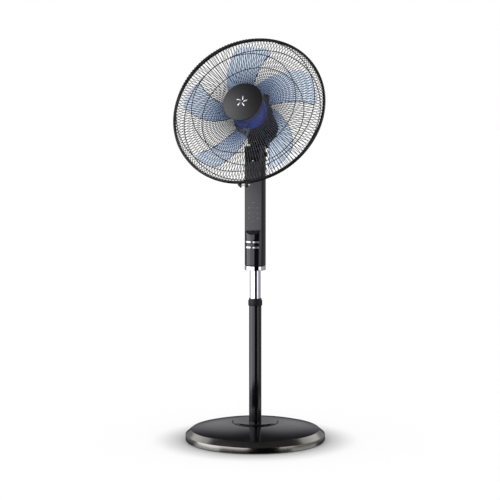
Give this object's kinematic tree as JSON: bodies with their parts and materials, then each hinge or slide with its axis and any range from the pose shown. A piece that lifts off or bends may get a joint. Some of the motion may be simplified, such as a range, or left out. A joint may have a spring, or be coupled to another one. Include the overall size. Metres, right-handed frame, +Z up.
{
  "type": "pedestal fan",
  "caption": "Free-standing fan on a telescopic pole with a round weighted base, control column, tilting and swinging head, wire guard and translucent blades.",
  "frame": {"origin": "on the floor, on the pole's axis under the centre of the base", "axes": "+Z up along the pole; the fan faces -Y; +X is to the right seen from the front"},
  "size_m": [0.444, 0.4, 1.1461],
  "materials": {
    "rubber": "matte black rubber",
    "steel_plate": "black powder coat",
    "zinc_steel": "zinc plated",
    "cast_iron": "raw casting",
    "gunmetal": "satin gunmetal metallic paint",
    "gloss_black": "gloss black",
    "black_tube": "gloss black enamel",
    "matte_black": "fine matte black",
    "chrome": "bright plating",
    "panel": "satin dark grey",
    "smoked_lens": "smoked lens",
    "silver_key": "silver metallic paint",
    "circuit_board": "green solder mask",
    "switch_body": "moulded black",
    "capacitor": "off-white case",
    "engineering_plastic": "natural acetal",
    "die_cast": "die cast",
    "electrical_steel": "stacked laminations",
    "copper": "enamelled copper wire",
    "bronze": "sintered bronze",
    "ground_steel": "ground steel",
    "black_wire": "black powder coat",
    "blue_blade": "translucent blue"
  },
  "bodies": {
    "base": {"rubber_feet": "rubber", "base_plate": "steel_plate", "pole_flange": "steel_plate", "flange_screws": "zinc_steel", "base_weight": "cast_iron", "base_rim": "gunmetal", "base_cover": "gloss_black", "hub_cover": "gloss_black", "outer_tube": "black_tube", "collet": "engineering_plastic"},
    "height_collar": {"height_collar": "matte_black"},
    "column": {"inner_tube": "chrome", "tube_bush": "engineering_plastic", "tube_socket": "matte_black", "socket_screw": "zinc_steel", "chrome_ring": "chrome", "column_front_cover": "gloss_black", "column_rear_shell": "gloss_black", "column_screws": "zinc_steel", "control_panel": "panel", "indicator_lenses": "smoked_lens", "circuit_boards": "circuit_board", "tact_switches": "switch_body", "capacitor": "capacitor", "cord_gland": "rubber", "tilt_clevis": "matte_black", "tilt_bolt": "zinc_steel"},
    "tilt_knob": {"tilt_knob": "matte_black"},
    "key_lower_left": {"key_lower_left": "silver_key"},
    "key_lower_right": {"key_lower_right": "silver_key"},
    "key_upper_left": {"key_upper_left": "silver_key"},
    "key_upper_right": {"key_upper_right": "silver_key"},
    "neck": {"neck": "matte_black", "swivel_shaft": "ground_steel"},
    "head": {"swivel_bush": "bronze", "gearbox_case": "die_cast", "front_endbell": "die_cast", "rear_endbell": "die_cast", "shaft_bearings": "bronze", "stator_core": "electrical_steel", "stator_windings": "copper", "motor_bolts": "zinc_steel", "motor_front_cover": "matte_black", "motor_rear_cover": "matte_black", "rear_cover_screws": "zinc_steel", "rear_guard": "black_wire", "rear_guard_nut": "matte_black", "front_guard": "black_wire", "guard_ring": "matte_black", "clamp_screw": "zinc_steel", "guard_cap": "matte_black"},
    "rotor": {"motor_shaft": "ground_steel", "rotor_core": "electrical_steel", "worm": "ground_steel", "drive_pin": "ground_steel", "fan_blade": "blue_blade", "blade_nut": "gloss_black"},
    "swing_drive": {"worm_wheel": "engineering_plastic", "crank_arm": "zinc_steel"},
    "clutch_knob": {"clutch_knob": "matte_black"}
  },
  "joints": [
    {"name": "collar_turn", "type": "hinge", "parent": "base", "child": "height_collar", "pos_m": [0, 0, 0.398], "axis": [0, 0, 1], "range_deg": [0, 120]},
    {"name": "height_slide", "type": "slide", "parent": "base", "child": "column", "axis": [0, 0, 1], "range_m": [-0.075, 0.2]},
    {"name": "tilt_knob_turn", "type": "hinge", "parent": "column", "child": "tilt_knob", "pos_m": [0.033, 0, 0.818], "axis": [1, 0, 0], "range_deg": [0, 180]},
    {"name": "tilt", "type": "hinge", "parent": "column", "child": "neck", "pos_m": [0, 0, 0.818], "axis": [-1, 0, 0], "range_deg": [-36, 4]},
    {"name": "swing", "type": "hinge", "parent": "neck", "child": "head", "pos_m": [0, 0, 0.818], "axis": [0, 0.4431, 0.8965], "range_deg": [-40, 40]},
    {"name": "spin", "type": "hinge", "parent": "head", "child": "rotor", "pos_m": [0, -0.05662, 0.94336], "axis": [0, -0.8965, 0.4431], "continuous": true},
    {"name": "swing_drive_turn", "type": "hinge", "parent": "head", "child": "swing_drive", "pos_m": [0.017, 0.05007, 0.89064], "axis": [0, 0.4431, 0.8965], "continuous": true},
    {"name": "clutch_press", "type": "slide", "parent": "head", "child": "clutch_knob", "axis": [0, 0.4431, 0.8965], "range_m": [-0.008, 0]},
    {"name": "key_lower_left_press", "type": "slide", "parent": "column", "child": "key_lower_left", "axis": [0, 1, 0], "range_m": [0, 0.001], "stiffness_N_per_m": 1500, "springref_m": -0.0005},
    {"name": "key_lower_right_press", "type": "slide", "parent": "column", "child": "key_lower_right", "axis": [0, 1, 0], "range_m": [0, 0.001], "stiffness_N_per_m": 1500, "springref_m": -0.0005},
    {"name": "key_upper_left_press", "type": "slide", "parent": "column", "child": "key_upper_left", "axis": [0, 1, 0], "range_m": [0, 0.001], "stiffness_N_per_m": 1500, "springref_m": -0.0005},
    {"name": "key_upper_right_press", "type": "slide", "parent": "column", "child": "key_upper_right", "axis": [0, 1, 0], "range_m": [0, 0.001], "stiffness_N_per_m": 1500, "springref_m": -0.0005}
  ],
  "couplings": [
    {"joint": "swing_drive_turn", "follows": "spin", "ratio": 0.041667}
  ]
}
